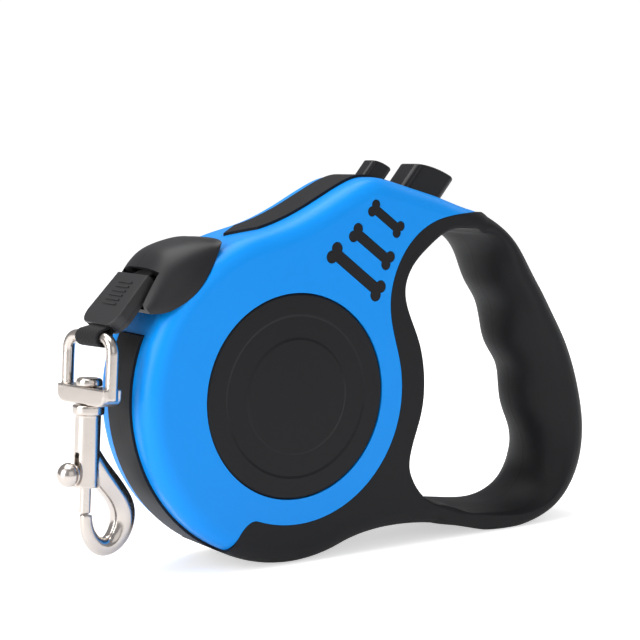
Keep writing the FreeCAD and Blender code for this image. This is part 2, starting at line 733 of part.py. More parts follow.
def guide_bar():
    """Polished bar under the webbing at the nozzle."""
    part = body("guide_bar", Placement(Vector(at_lead(31.0, -2.35)[0], 0, at_lead(31.0, -2.35)[1]), Rotation()))
    drawing = sketch(part, "guide_bar_section", "XZ_Plane", [circle(1.5)])
    pad(part, drawing, 18.8, both=True)


# ---------------------------------------------------------------- drum and spring


def drum():
    """Spool: hub, spring cup, winding core and two flanges with ratchet teeth."""
    part = body("spool")
    core = size("drum_radius")
    cup = core - 1.5
    rim = size("flange_radius")
    hub = size("axle_radius") + size("running_gap")
    outer = size("flange_half")
    inner = outer - 1.2
    floor = -outer + 1.5
    profile = [(hub, -9.4), (6.5, -9.4), (6.5, -outer), (rim, -outer), (rim, -inner), (core, -inner), (core, inner),
               (rim, inner), (rim, outer), (cup, outer), (cup, floor), (6.5, floor), (6.5, 9.4), (hub, 9.4)]
    turned(part, "spool_section", "XY_Plane", profile, "V_Axis")
    angle = 90 - size("button_lean")
    root = rim - size("tooth_depth")
    notch = [polar(rim + 1, angle - 2.2), polar(root, angle - 1.9), polar(root, angle + 1.9),
             polar(rim + 1, angle + 4.6)]
    drawing = sketch(part, "spool_notch", "XZ_Plane", polygon(notch))
    doc.recompute()
    tooth = pocket(part, drawing, 40, both=True)
    pattern = part.newObject("PartDesign::PolarPattern", "spool_teeth")
    pattern.Originals = [tooth]
    pattern.Axis = (next(a for a in part.Origin.OriginFeatures if a.Role == "Y_Axis"), [""])
    pattern.Angle = 360
    pattern.setExpression("Occurrences", "sizes.tooth_count")
    part.Tip = pattern


def power_spring():
    """Flat spiral spring, made of half turns whose centres alternate so that the spiral grows."""
    inner, thickness, turns = 7.3, 0.4, 9
    pitch = (size("drum_radius") - 1.5 - 0.4 - inner - thickness) / turns

    def half_turns(offset):
        arcs = []
        for step in range(2 * turns):
            upper = step % 2 == 0
            centre = (-pitch / 4 if upper else pitch / 4, 0.0)
            radius = inner + offset + step * pitch / 2
            arcs.append(arc(radius, 0, 180, centre) if upper else arc(radius, 180, 360, centre))
        return arcs

    near, far = half_turns(0.0), half_turns(thickness)
    start = -pitch / 4 + inner
    finish = pitch / 4 + inner + (2 * turns - 1) * pitch / 2
    caps = [line((start, 0), (start + thickness, 0)), line((finish, 0), (finish + thickness, 0))]
    part = body("power_spring")
    drawing = sketch(part, "spring_spiral", "XZ_Plane", near + far + caps)
    pad(part, drawing, 11.0, both=True)


def axle():
    """Fixed axle with a slot for the spring's inner end and a screw hole in each end."""
    part = body("axle")
    radius = size("axle_radius")
    reach = size("chamber_half") - 0.05
    hole = size("screw_radius") + size("running_gap")
    profile = [(0, -5), (hole, -5), (hole, -reach), (radius, -reach), (radius, reach), (hole, reach), (hole, 5), (0, 5)]
    turned(part, "axle_section", "XY_Plane", profile, "V_Axis")
    slot = [(-0.4, 1.8), (0.4, 1.8), (0.4, 8), (-0.4, 8)]
    drawing = sketch(part, "axle_slot", "XZ_Plane", polygon(slot))
    doc.recompute()
    pocket(part, drawing, 9.0, both=True)


def pan_screw(seat, tip, head_side):
    """A pan-head screw along Y: seat is the plane under its head."""
    head = 1.0
    rise = head_side * head
    shank = size("screw_radius")
    profile = [(0, seat + rise), (1.9, seat + rise), (2.6, seat + 0.55 * rise), (2.6, seat), (shank, seat),
               (shank, tip + head_side * 0.8), (0.5, tip), (0, tip)]
    solid = Part.Face(Part.makePolygon([Vector(r, y, 0) for r, y in profile + profile[:1]]))
    solid = solid.revolve(Vector(0, 0, 0), Vector(0, 1, 0), 360)
    for turn in (0, 90):
        bar = Part.makeBox(2.8, 1.4, 0.5, Vector(-1.4, seat + rise - 0.7, -0.25))
        bar.rotate(Vector(0, 0, 0), Vector(0, 1, 0), turn)
        solid = solid.cut(bar)
    return solid


def screws():
    group = []
    for spot in SCREWS:
        solid = pan_screw(SCREW_SEAT, SCREW_END, 1)
        solid.translate(Vector(spot[0], 0, spot[1]))
        group.append(solid)
    node("case_screws", shape_feature("case_screws_shape", Part.makeCompound(group)))
    seat = FACE - size("cover_wall") - 0.1
    pair = [pan_screw(side * (seat + 0.02), side * 6.0, side) for side in (-1, 1)]
    node("axle_screws", shape_feature("axle_screws_shape", Part.makeCompound(pair)))


def washers():
    inner = size("axle_radius") + GAP
    rings = []
    for side in (-1, 1):
        low, high = sorted((side * 9.55, side * 10.1))
        outer_rod = rod(f"washer_outer{side + 1}", "6.6", low, high)
        inner_rod = rod(f"washer_inner{side + 1}", inner, low, high)
        rings.append(cut(f"washer{side + 1}", outer_rod, [inner_rod]))
    node("spool_washers", fused("spool_washers_pair", rings))


# ---------------------------------------------------------------- webbing and its guard


def tangent_point(spot, centre, radius, hand):
    """Where a line from spot touches a circle; hand chooses the side."""
    dx, dz = spot[0] - centre[0], spot[1] - centre[1]
    distance = math.hypot(dx, dz)
    angle = math.atan2(dz, dx) + hand * math.acos(radius / distance)
    return centre[0] + radius * math.cos(angle), centre[1] + radius * math.sin(angle)


def loop_outline(half, radius, y):
    """Two straight runs through the guard that open round the snap's bar, in the side plane at y."""
    bar = (BAR_AT[0] - y * math.tan(math.radians(size("snap_turn"))), BAR_AT[1])
    end = size("guard_length") - 0.6
    upper, lower = at_guard(end, half), at_guard(end, -half)
    left = tangent_point(upper, bar, radius, 1)
    right = tangent_point(lower, bar, radius, -1)
    middle = (bar[0] + radius * GUARD_RUN[0], bar[1] + radius * GUARD_RUN[1])
    top, foot = at_guard(0.6, half), at_guard(0.6, -half)
    spots = [Vector(x, y, z) for x, z in (top, upper, left, middle, right, lower, foot)]
    edges = [Part.LineSegment(spots[0], spots[1]), Part.LineSegment(spots[1], spots[2]),
             Part.Arc(spots[2], spots[3], spots[4]), Part.LineSegment(spots[4], spots[5]),
             Part.LineSegment(spots[5], spots[6]), Part.LineSegment(spots[6], spots[0])]
    return Part.Wire([edge.toShape() for edge in edges])


def webbing():
    """The strip outside the coil: straight lead, turn at the nozzle, two layers in the guard and the loop."""
    thick = size("tape_thickness")
    half = size("tape_width") / 2
    edges = (size("tape_shift") - half, size("tape_shift") + half)
    inner = size("wire_radius") + 0.12
    outside = Part.makeLoft([loop_outline(thick, inner + thick, y) for y in edges], True, True)
    beyond = (edges[0] - 1.0, edges[1] + 1.0)
    inside = Part.makeLoft([loop_outline(0.02, inner, y) for y in beyond], True, True)
    loop = shape_feature("tape_loop_strip", outside.cut(inside))
    lead_end = LEAD_LENGTH - 1.0
    run = prism("tape_lead_run", polygon([at_lead(0.4, -thick / 2), at_lead(lead_end, -thick / 2), at_guard(0.3, -thick),
                                          at_guard(0.8, -thick), at_guard(0.8, 0.0), at_guard(0.3, 0.0),
                                          at_lead(lead_end, thick / 2), at_lead(0.4, thick / 2)]),
                "-sizes.tape_width/2", "sizes.tape_width/2")
    node("tape_end", fused("tape_end_strip", [loop, run]))
    ring("tape_coil", size("drum_radius") + 0.1, size("coil_radius") - thick / 2 - 0.05, -half, half)


GUARD_TOP = -0.9
GUARD_TOP_HALF = 9.0
GUARD_CORNER = 4.2
RIB_FIRST = 4.0
RIB_PITCH = 1.5


def guard_shell(label, near, far):
    """A rounded oblong between two depths from the webbing's middle, in the tape guard's own frame."""
    turn = Rotation(Vector(0, 1, 0), -size("guard_angle"))
    spot = at_guard(0.0, 0.0)
    part = body(label, Placement(Vector(spot[0], 0, spot[1]), turn))
    length = size("guard_length")
    half = size("guard_width") / 2
    lower_end = [
        line((-length + GUARD_CORNER, -half), (GUARD_TOP, -GUARD_TOP_HALF)),
        line((GUARD_TOP, -GUARD_TOP_HALF), (GUARD_TOP, GUARD_TOP_HALF)),
        line((GUARD_TOP, GUARD_TOP_HALF), (-length + GUARD_CORNER, half)),
        arc(GUARD_CORNER, 90, 180, (-length + GUARD_CORNER, half - GUARD_CORNER)),
        line((-length, half - GUARD_CORNER), (-length, GUARD_CORNER - half)),
        arc(GUARD_CORNER, 180, 270, (-length + GUARD_CORNER, GUARD_CORNER - half)),
    ]
    plate = pad(part, sketch(part, label + "_outline", "XY_Plane", lower_end, near), far - near)
    return part, plate


def flare(part, name, way):
    """Opens the lower end of the webbing's channel, where the two layers part round the bar."""
    end = size("guard_length")
    wedge = polygon([(-end + 0.9, way * 0.74), (-end - 0.9, way * 0.74), (-end - 0.9, way * 2.36)])
    doc.recompute()
    pocket(part, sketch(part, name, "XZ_Plane", wedge), 14.8, both=True)


def guard_front():
    """The guard's front: a ribbed face with walls either side of the webbing's channel."""
    near, channel, far = -0.7, 0.75, 2.25
    part, plate = guard_shell("tape_guard_front", near, far)
    soften(part, plate, 0.45, lambda edge: edge.BoundBox.ZMin > far - 1e-4)
    doc.recompute()
    half = 7.4
    way = polygon([(1.0, -half), (1.0, half), (-30.0, half), (-30.0, -half)])
    pocket(part, sketch(part, "guard_channel", "XY_Plane", way, channel), 3.0)
    flare(part, "guard_front_flare", 1)
    rib = polygon([(-RIB_FIRST, -3.8), (-RIB_FIRST, 3.8), (-RIB_FIRST - 0.55, 3.8), (-RIB_FIRST - 0.55, -3.8)])
    drawing = sketch(part, "guard_rib", "XY_Plane", rib, far - 0.1)
    raised = pad(part, drawing, 0.38)
    doc.recompute()
    pattern = part.newObject("PartDesign::LinearPattern", "guard_ribs")
    pattern.Originals = [raised]
    pattern.Direction = (drawing, ["H_Axis"])
    pattern.Reversed = True
    pattern.Length = 5 * RIB_PITCH
    pattern.Occurrences = 6
    part.Tip = pattern


def guard_back():
    part, _ = guard_shell("tape_guard_back", -1.85, -0.75)
    flare(part, "guard_back_flare", -1)


# ---------------------------------------------------------------- buttons


def brake():
    """Brake button with its collar and stem, the steel pawl in the stem's end, and its return spring."""
    part = body("brake_button", button_place(BRAKE_AT))
    top = [line((-6.3, -6.2), (-6.3, 6.3)), Part.Arc(Vector(-6.3, 6.3, 0), Vector(0.9, 10.1, 0), Vector(8.0, 12.0, 0)),
           line((8.0, 12.0), (8.0, -4.6)), line((8.0, -4.6), (3.3, -4.6)), line((3.3, -4.6), (3.3, -6.2)),
           line((3.3, -6.2), (-6.3, -6.2))]
    cap = pad(part, sketch(part, "brake_cap", "XZ_Plane", top), 10.4, both=True)
    sides = soften(part, cap, 2.3, upright)
    soften(part, sides, 0.9, lambda edge: edge.BoundBox.ZMin > 5.0)
    collar = polygon([(-7.3, -4.9), (3.3, -4.9), (3.3, -6.3), (-7.3, -6.3)])
    pad(part, sketch(part, "brake_collar", "XZ_Plane", collar), 12.4, both=True)
    left, right = STEM_CENTRE - 2.4, STEM_CENTRE + 2.4
    stem = polygon([(left, -6.0), (right, -6.0), (right, STEM_END), (left, STEM_END)])
    pad(part, sketch(part, "brake_stem", "XZ_Plane", stem), 17.2, both=True)
    doc.recompute()
    slot = polygon([(STEM_CENTRE - 1.05, STEM_END + 4), (STEM_CENTRE + 1.05, STEM_END + 4),
                    (STEM_CENTRE + 1.05, STEM_END - 1), (STEM_CENTRE - 1.05, STEM_END - 1)])
    pocket(part, sketch(part, "brake_slot", "XZ_Plane", slot), 30, both=True)

    pawl = body("brake_pawl", button_place(BRAKE_AT))
    tip = polygon([(STEM_CENTRE - 1.0, STEM_END + 3.95), (STEM_CENTRE + 1.0, STEM_END + 3.95),
                   (STEM_CENTRE + 1.0, PAWL_TIP + 1.4), (STEM_CENTRE + 0.5, PAWL_TIP),
                   (STEM_CENTRE - 1.0, PAWL_TIP)])
    pad(pawl, sketch(pawl, "pawl_section", "XZ_Plane", tip), 16.8, both=True)
    coil_spring("brake_spring", 1.35, 0.22, -15.9, -6.4, 7, button_place(BRAKE_AT), 1.8)


def lock():
    """Lock button with its collar and the arm that catches the brake's stem."""
    part = body("lock_button", button_place(LOCK_AT))
    top = [line((-3.6, -6.6), (-3.6, 4.3)), Part.Arc(Vector(-3.6, 4.3, 0), Vector(0.0, 6.0, 0), Vector(3.6, 6.6, 0)),
           line((3.6, 6.6), (3.6, -6.6)), line((3.6, -6.6), (-3.6, -6.6))]
    cap = pad(part, sketch(part, "lock_cap", "XZ_Plane", top), 6.0, both=True)
    sides = soften(part, cap, 1.5, upright)
    soften(part, sides, 0.6, lambda edge: edge.BoundBox.ZMin > 3.5)
    collar = polygon([(-4.7, -3.3), (4.7, -3.3), (4.7, -4.6), (-4.7, -4.6)])
    pad(part, sketch(part, "lock_collar", "XZ_Plane", collar), 7.8, both=True)
    arm = polygon([(-2.8, -6.5), (3.0, -6.5), (3.0, -7.4), (9.0, -7.4), (9.0, -9.4), (-2.8, -9.4)])
    pad(part, sketch(part, "lock_arm", "XZ_Plane", arm), 5.4, both=True)


def coil_spring(label, radius, wire, low, high, turns, place, shift=0.0):
    """A round-wire compression spring between two heights of the frame that place sets down."""
    pitch = (high - low - 2 * wire) / turns
    helix = Part.makeHelix(pitch, pitch * turns, radius)
    profile = Part.Wire(Part.makeCircle(wire, Vector(radius, 0, 0), Vector(0, 1, 0)))
    solid = Part.Wire(helix.Edges).makePipeShell([profile], True, True)
    offset = Placement(Vector(shift, 0, low + wire), Rotation())
    node(label, shape_feature(label + "_wire", solid), place.multiply(offset))


# ---------------------------------------------------------------- swivel snap, drawn hanging from its bar


SNAP = Placement(Vector(BAR_AT[0], 0, BAR_AT[1]), Rotation(Vector(0, 0, 1), size("snap_turn")).multiply(
    Rotation(Vector(0, 1, 0), size("snap_lean"))))
EYE_BLOCK = (-18.3, -13.5)
EYE_BLOCK_THICK = 6.0
COLLAR = (-21.2, -18.5)
BARREL_END = -41.2
HOOK_LINE = [((0.5, -30.8), 2.6), ((2.6, -34.7), 3.2), ((5.4, -38.5), 3.5), ((8.4, -41.8), 3.5), ((11.2, -45.3), 3.5),
             ((12.9, -49.7), 3.55), ((12.3, -53.8), 3.35), ((10.1, -57.0), 3.0), ((6.9, -58.4), 2.65),
             ((3.7, -57.2), 2.35), ((1.2, -53.7), 2.0), ((0.4, -48.9), 1.75)]


def snap_eye():
    """Closed loop of rod that the webbing holds, with a bored block for the swivel stud."""
    part = body("swivel_eye", SNAP)
    half, bend = size("eye_half"), 4.0
    path = [line((-half, -16.5), (-half, -bend)), arc(bend, 90, 180, (bend - half, -bend)),
            line((bend - half, 0), (half - bend, 0)), arc(bend, 0, 90, (half - bend, -bend)),
            line((half, -bend), (half, -16.5))]
    route = sketch(part, "eye_route", "YZ_Plane", path)
    profile = sketch(part, "eye_rod", "XY_Plane", [circle(size("wire_radius"), (0, -half))], -16.5)
    pipe = part.newObject("PartDesign::AdditivePipe", "eye_loop")
    pipe.Profile = profile
    pipe.Spine = route
    doc.recompute()
    low, high = EYE_BLOCK
    corner = 2.8
    wide = half + 0.7
    section = [line((-wide, high), (-wide, low + corner)), arc(corner, 180, 270, (corner - wide, low + corner)),
               line((corner - wide, low), (wide - corner, low)), arc(corner, 270, 360, (wide - corner, low + corner)),
               line((wide, low + corner), (wide, high)), line((wide, high), (-wide, high))]
    pad(part, sketch(part, "eye_block", "YZ_Plane", section), EYE_BLOCK_THICK, both=True)
    doc.recompute()
    bore = sketch(part, "eye_bore", "XY_Plane", [circle(2.0 + size("running_gap"))], low - 1)
    pocket(part, bore, 8.0, reverse=True)


def hook_arm():
    """The hook's arm: round sections along a curve, thick at the shoulder and slim at the tip."""
    points = [Vector(x, 0, z) for (x, z), _ in HOOK_LINE]
    curve = Part.BSplineCurve()
    curve.interpolate(points)
    sections = []
    for point, (_, radius) in zip(points, HOOK_LINE):
        along = curve.tangent(curve.parameter(point))[0]
        sections.append(Part.Wire(Part.makeCircle(radius, point, along)))
    return Part.makeLoft(sections, True, False)


def hook():
    """Hook with its barrel, collar, swivel stud and the riveted head above the eye's block."""
    low, high = EYE_BLOCK
    stud = Part.makeCylinder(2.0, high - COLLAR[1] + 1.2, Vector(0, 0, COLLAR[1] - 0.5))
    head = Part.makeCylinder(3.6, 2.2, Vector(0, 0, high + 0.15))
    head = head.makeFillet(1.0, [edge for edge in head.Edges if edge.BoundBox.ZMin > high + 2.0])
    collar = Part.makeCylinder(4.4, COLLAR[1] - COLLAR[0], Vector(0, 0, COLLAR[0]))
    collar = collar.makeFillet(0.5, [edge for edge in collar.Edges if edge.BoundBox.ZLength < 0.01])
    radius = size("barrel_radius")
    barrel = Part.makeCylinder(radius, COLLAR[0] - BARREL_END + 0.5, Vector(0, 0, BARREL_END))
    solid = stud.fuse([head, collar, barrel, hook_arm()])
    bolt = size("bolt_radius") + size("running_gap")
    bore = Part.makeCylinder(bolt, 18.0, Vector(0, 0, BARREL_END - 1))
    travel = size("bolt_travel")
    slot = Part.makeBox(radius + 3, 1.9, travel + 1.9, Vector(-radius - 3, -0.95, KNOB_HEIGHT - 0.95))
    tip_cup = Part.makeCylinder(bolt + 0.05, 4.0, Vector(0, 0, BOLT_TIP - 0.05))
    solid = solid.cut([bore, slot, tip_cup])
    node("hook_body", shape_feature("hook_shape", solid.removeSplitter()), SNAP)


KNOB_HEIGHT = -37.5
BOLT_TIP = -48.5
BOLT_TOP = -33.5


def bolt():
    """Spring bolt, its thumb knob and the spring above it."""
    part = body("snap_bolt", SNAP)
    radius = size("bolt_radius")
    profile = [(0, BOLT_TIP), (radius - 0.4, BOLT_TIP), (radius, BOLT_TIP + 0.4), (radius, BOLT_TOP), (0, BOLT_TOP)]
    turned(part, "bolt_section", "XZ_Plane", profile, "V_Axis")
    knob = body("bolt_knob", SNAP.multiply(Placement(Vector(0, 0, KNOB_HEIGHT), Rotation())))
    inner = -(radius + 0.02)
    barrel = size("barrel_radius")
    disc, neck, flat = -barrel - 0.35, -barrel - 1.05, -barrel - 1.95
    pin, disc_radius, ball = 0.75, 2.9, 3.45
    dome = polygon_open([(inner, 0), (inner, pin), (disc, pin), (disc, disc_radius), (neck, disc_radius),
                         (neck, 2 * pin), (flat, 2 * pin), (flat, ball)])
    dome += [arc(ball, 90, 180, (flat, 0)), line((flat - ball, 0), (inner, 0))]
    drawing = sketch(knob, "knob_section", "XZ_Plane", dome)
    feature = knob.newObject("PartDesign::Revolution", "knob_turned")
    feature.Profile = drawing
    feature.ReferenceAxis = (drawing, ["H_Axis"])
    feature.Angle = 360
    coil_spring("bolt_spring", 1.2, 0.22, BOLT_TOP + 0.05, -25.1, 8, SNAP)


# ---------------------------------------------------------------- build


for name, way in (("left", -1), ("right", 1)):
    case_half("case_" + name, way)
    cover("cover_" + name, way)
    badge("badge_" + name, way)
    nozzle("nozzle_" + name, way)
guide_bar()
drum()
ring("spring_cover", 6.7, size("drum_radius") - 1.65, 5.75, 7.0)
power_spring()
axle()
washers()
screws()
webbing()
guard_front()
guard_back()
brake()
lock()
snap_eye()
hook()
bolt()

doc.recompute()
problems = [obj.Name for obj in doc.Objects if {"Invalid", "Error"} & set(obj.State)]
if problems:
    raise RuntimeError(f"features that failed: {problems}")
os.makedirs("parts", exist_ok=True)
for label, obj in nodes.items():
    if obj.Shape.isNull() or not obj.Shape.isValid() or not obj.Shape.Solids:
        raise RuntimeError(f"{label} is not a sound solid")
    obj.Shape.exportStep(f"parts/{label}.step")
    print(f"{label:18s} solids {len(obj.Shape.Solids)}  volume {obj.Shape.Volume:9.1f} mm3")
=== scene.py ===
"""Looks of the retractable pet leash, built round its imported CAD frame.

Metres, with +X towards the hand loop and +Z up. The webbing's route is drawn in millimetres in the side
plane, from the drum's axle, and MM turns it into metres.
"""

import json
import math

import bmesh
import bpy
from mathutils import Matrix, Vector


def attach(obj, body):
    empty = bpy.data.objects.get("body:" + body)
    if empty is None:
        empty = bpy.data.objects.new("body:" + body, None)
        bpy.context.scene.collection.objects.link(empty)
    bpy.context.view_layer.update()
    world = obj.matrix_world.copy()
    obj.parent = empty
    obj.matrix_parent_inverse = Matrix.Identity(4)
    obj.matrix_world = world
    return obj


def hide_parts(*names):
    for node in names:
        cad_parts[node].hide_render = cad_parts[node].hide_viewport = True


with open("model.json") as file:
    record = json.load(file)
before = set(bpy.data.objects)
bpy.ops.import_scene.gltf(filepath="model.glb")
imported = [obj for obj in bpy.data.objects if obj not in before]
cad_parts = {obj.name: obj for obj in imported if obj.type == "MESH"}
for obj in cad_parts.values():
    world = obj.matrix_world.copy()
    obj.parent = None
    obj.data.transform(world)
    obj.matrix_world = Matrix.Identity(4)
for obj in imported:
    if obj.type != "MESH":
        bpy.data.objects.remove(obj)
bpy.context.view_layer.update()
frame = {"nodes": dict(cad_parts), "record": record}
nodes = frame["nodes"]
record = frame["record"]
MM = 0.001


# ---------------------------------------------------------------- materials


COAT_ROUGHNESS = 0.1


def material(name, color, roughness, metallic=0.0, coat=0.0, specular=0.5, sheen=0.0):
    """A Principled material with plain values, for the detail functions to build on."""
    made = bpy.data.materials.new(name)
    made.use_nodes = True
    tree = made.node_tree
    shader = tree.nodes["Principled BSDF"]
    shader.inputs["Base Color"].default_value = (*color, 1.0)
    shader.inputs["Roughness"].default_value = roughness
    shader.inputs["Metallic"].default_value = metallic
    shader.inputs["Coat Weight"].default_value = coat
    shader.inputs["Coat Roughness"].default_value = COAT_ROUGHNESS
    shader.inputs["Specular IOR Level"].default_value = specular
    shader.inputs["Sheen Weight"].default_value = sheen
    return made


def position(tree, stretch=(1.0, 1.0, 1.0)):
    """Object coordinates in metres, stretched per axis."""
    coordinates = tree.nodes.new("ShaderNodeTexCoord")
    mapping = tree.nodes.new("ShaderNodeMapping")
    mapping.inputs["Scale"].default_value = stretch
    tree.links.new(coordinates.outputs["Object"], mapping.inputs["Vector"])
    return mapping.outputs["Vector"]


def noise(tree, vector, scale, detail=3.0, distortion=0.0):
    texture = tree.nodes.new("ShaderNodeTexNoise")
    texture.inputs["Scale"].default_value = scale
    texture.inputs["Detail"].default_value = detail
    texture.inputs["Distortion"].default_value = distortion
    tree.links.new(vector, texture.inputs["Vector"])
    return texture.outputs["Fac"]


def ramp(tree, value, low, high, from_low=0.3, from_high=0.7):
    """Maps a pattern's range from_low..from_high to the numbers low..high."""
    node = tree.nodes.new("ShaderNodeMapRange")
    node.inputs["From Min"].default_value = from_low
    node.inputs["From Max"].default_value = from_high
    node.inputs["To Min"].default_value = low
    node.inputs["To Max"].default_value = high
    tree.links.new(value, node.inputs["Value"])
    return node.outputs["Result"]


def mottle(made, value, dark, light):
    """Base colour that varies between two colours with a pattern."""
    tree = made.node_tree
    mix = tree.nodes.new("ShaderNodeMix")
    mix.data_type = "RGBA"
    mix.inputs["A"].default_value = (*dark, 1.0)
    mix.inputs["B"].default_value = (*light, 1.0)
    tree.links.new(value, mix.inputs["Factor"])
    tree.links.new(mix.outputs["Result"], tree.nodes["Principled BSDF"].inputs["Base Color"])


def rough(made, value):
    """Roughness that varies with a pattern."""
    made.node_tree.links.new(value, made.node_tree.nodes["Principled BSDF"].inputs["Roughness"])


def bump(made, value, height, strength=1.0):
    """Relief from a pattern; height is its depth in metres."""
    tree = made.node_tree
    node = tree.nodes.new("ShaderNodeBump")
    node.inputs["Distance"].default_value = height
    node.inputs["Strength"].default_value = strength
    tree.links.new(value, node.inputs["Height"])
    tree.links.new(node.outputs["Normal"], tree.nodes["Principled BSDF"].inputs["Normal"])


PLASTIC_DRIFT = 38.0
TARNISH = 90.0
WEAVE_ANGLE = 0.62
WEAVE_SCALE = 420.0
WEAVE_DEPTH = 0.00008
FUZZ_SCALE = 2600.0
FUZZ_SHARE = 0.25


def moulded(name, color, roughness, grain, depth, coat=0.0, specular=0.5, spread=0.06, shade=0.12):
    """Injection-moulded plastic: fine spark texture, and slow changes of colour and gloss."""
    made = material(name, color, roughness, coat=coat, specular=specular)
    tree = made.node_tree
    vector = position(tree)
    fine = noise(tree, vector, grain, 4.0)
    slow = noise(tree, vector, PLASTIC_DRIFT, 2.0)
    bump(made, fine, depth)
    rough(made, ramp(tree, slow, roughness - spread / 2, roughness + spread / 2))
    mottle(made, slow, [c * (1.0 - shade / 2) for c in color], [c * (1.0 + shade / 2) for c in color])
    return made


def metal(name, color, roughness, stretch=(1.0, 1.0, 1.0), grain=900.0, depth=0.00001):
    """Plated or turned metal with polishing marks and faint tarnish."""
    made = material(name, color, roughness, metallic=1.0)
    tree = made.node_tree
    vector = position(tree, stretch)
    fine = noise(tree, vector, grain, 3.0)
    slow = noise(tree, vector, TARNISH, 3.0, 0.4)
    bump(made, fine, depth)
    rough(made, ramp(tree, slow, roughness * 0.75, roughness * 1.5))
    mottle(made, slow, [c * 0.86 for c in color], color)
    return made


def webbing_material():
    """Black herringbone webbing; its UVs are in metres along and across the strip."""
    dark, light = (0.006, 0.006, 0.007), (0.016, 0.016, 0.017)
    made = material("webbing", dark, 0.8, sheen=0.08, specular=0.2)
    tree = made.node_tree
    coordinates = tree.nodes.new("ShaderNodeUVMap")
    coordinates.uv_map = "strip"
    waves = []
    for angle in (WEAVE_ANGLE, -WEAVE_ANGLE):
        turn = tree.nodes.new("ShaderNodeMapping")
        turn.inputs["Rotation"].default_value = (0.0, 0.0, angle)
        tree.links.new(coordinates.outputs["UV"], turn.inputs["Vector"])
        wave = tree.nodes.new("ShaderNodeTexWave")
        wave.inputs["Scale"].default_value = WEAVE_SCALE
        wave.inputs["Distortion"].default_value = 0.6
        wave.inputs["Detail Scale"].default_value = 2.0
        tree.links.new(turn.outputs["Vector"], wave.inputs["Vector"])
        waves.append(wave.outputs["Fac"])
    join = tree.nodes.new("ShaderNodeMath")
    join.operation = "MULTIPLY"
    tree.links.new(waves[0], join.inputs[0])
    tree.links.new(waves[1], join.inputs[1])
    fuzz = noise(tree, coordinates.outputs["UV"], FUZZ_SCALE, 3.0)
    both = tree.nodes.new("ShaderNodeMath")
    both.operation = "MULTIPLY_ADD"
    both.inputs[1].default_value = FUZZ_SHARE
    tree.links.new(fuzz, both.inputs[0])
    tree.links.new(join.outputs["Value"], both.inputs[2])
    bump(made, both.outputs["Value"], WEAVE_DEPTH)
    mottle(made, ramp(tree, both.outputs["Value"], 0.0, 1.0, 0.0, 1.1), dark, light)
    return made


def painted_seam_shade(made, color):
    """Paints shade into a fine line where two moulded halves meet on the middle plane, y = 0: a near-black
    seam that stands for the shade in the gap.
    """
    tree = made.node_tree
    shader = tree.nodes["Principled BSDF"]
    split = tree.nodes.new("ShaderNodeSeparateXYZ")
    tree.links.new(position(tree), split.inputs["Vector"])
    away = tree.nodes.new("ShaderNodeMath")
    away.operation = "ABSOLUTE"
    tree.links.new(split.outputs["Y"], away.inputs[0])
    beside = ramp(tree, away.outputs["Value"], 0.0, 1.0, 0.00005, 0.0002)
    mix = tree.nodes.new("ShaderNodeMix")
    mix.data_type = "RGBA"
    mix.inputs["A"].default_value = (*color, 1.0)
    tree.links.new(beside, mix.inputs["Factor"])
    tree.links.new(shader.inputs["Base Color"].links[0].from_socket, mix.inputs["B"])
    tree.links.new(mix.outputs["Result"], shader.inputs["Base Color"])
    return made


BLUE = (0.0008, 0.284, 0.87)
BLACK = (0.0115, 0.0115, 0.0130)
GUARD_BLACK = (0.018, 0.018, 0.019)
# Painted shade: near-black for the seam between the moulded halves, standing in for the shade in the gap.
SEAM_SHADE_BLACK = (0.003, 0.003, 0.003)
materials = {
    "cover_blue": moulded("cover_blue", BLUE, 0.34, 1800.0, 0.000006, spread=0.05, shade=0.04, specular=0.25),
    # The case and the nozzle get a painted seam shade along the middle plane.
    "case_black": painted_seam_shade(
        moulded("case_black", BLACK, 0.5, 2600.0, 0.00003, spread=0.1, shade=0.3, specular=0.2),
        SEAM_SHADE_BLACK),
    "nozzle_black": painted_seam_shade(
        moulded("nozzle_black", BLACK, 0.4, 2200.0, 0.000016, spread=0.08, shade=0.3, specular=0.42),
        SEAM_SHADE_BLACK),
    "badge_black": moulded("badge_black", BLACK, 0.4, 2000.0, 0.000012, spread=0.06, shade=0.3, specular=0.2),
    "button_black": moulded(
        "button_black", BLACK, 0.24, 1500.0, 0.000005, coat=0.15, shade=0.3, specular=0.3),
    "guard_black": moulded("guard_black", GUARD_BLACK, 0.42, 2400.0, 0.00002, spread=0.1, shade=0.3),
    "inner_plastic": moulded("inner_plastic", (0.62, 0.61, 0.56), 0.5, 1600.0, 0.00002),
    "webbing": webbing_material(),
    "nickel": metal("nickel", (0.74, 0.675, 0.62), 0.2, grain=420.0, depth=0.00002),
    "steel": metal("steel", (0.55, 0.55, 0.55), 0.34, (1.0, 8.0, 1.0)),
    "spring_steel": metal("spring_steel", (0.4, 0.4, 0.42), 0.38, (1.0, 0.2, 1.0)),
}

for entry in record["subparts"]:
    shown = nodes[entry["node"]]
    shown.data.materials.clear()
    shown.data.materials.append(materials[entry["material_slot"]])

# ---------------------------------------------------------------- webbing, a woven strip in place of tape_end

# These sizes are the part's own, so that the strip keeps to its passages.

AXLE = 48.5
COIL_RADIUS = 40.7
LEAD_FALL = math.radians(7.0)
LEAD_LENGTH = 36.0
LEAD_START = 0.4
LEAD_END = 34.0
GUARD_FALL = math.radians(48.1)
GUARD_END = 18.0
TAPE_HALF = 4.9
TAPE_THICK = 0.7
TAPE_SHIFT = -1.3
BAR = (-56.6, 19.15)
BAR_TURN = math.radians(10.5)
BAR_WRAP = 1.82 + TAPE_THICK / 2
LEAD_RUN = (-math.cos(LEAD_FALL), -math.sin(LEAD_FALL))
LEAD_FROM = (-COIL_RADIUS * math.sin(LEAD_FALL), COIL_RADIUS * math.cos(LEAD_FALL))
GUARD_RUN = (-math.cos(GUARD_FALL), -math.sin(GUARD_FALL))
WRAP_STEPS = 24
SHIFT_STARTS = 34.0
SHIFT_LENGTH = 14.0


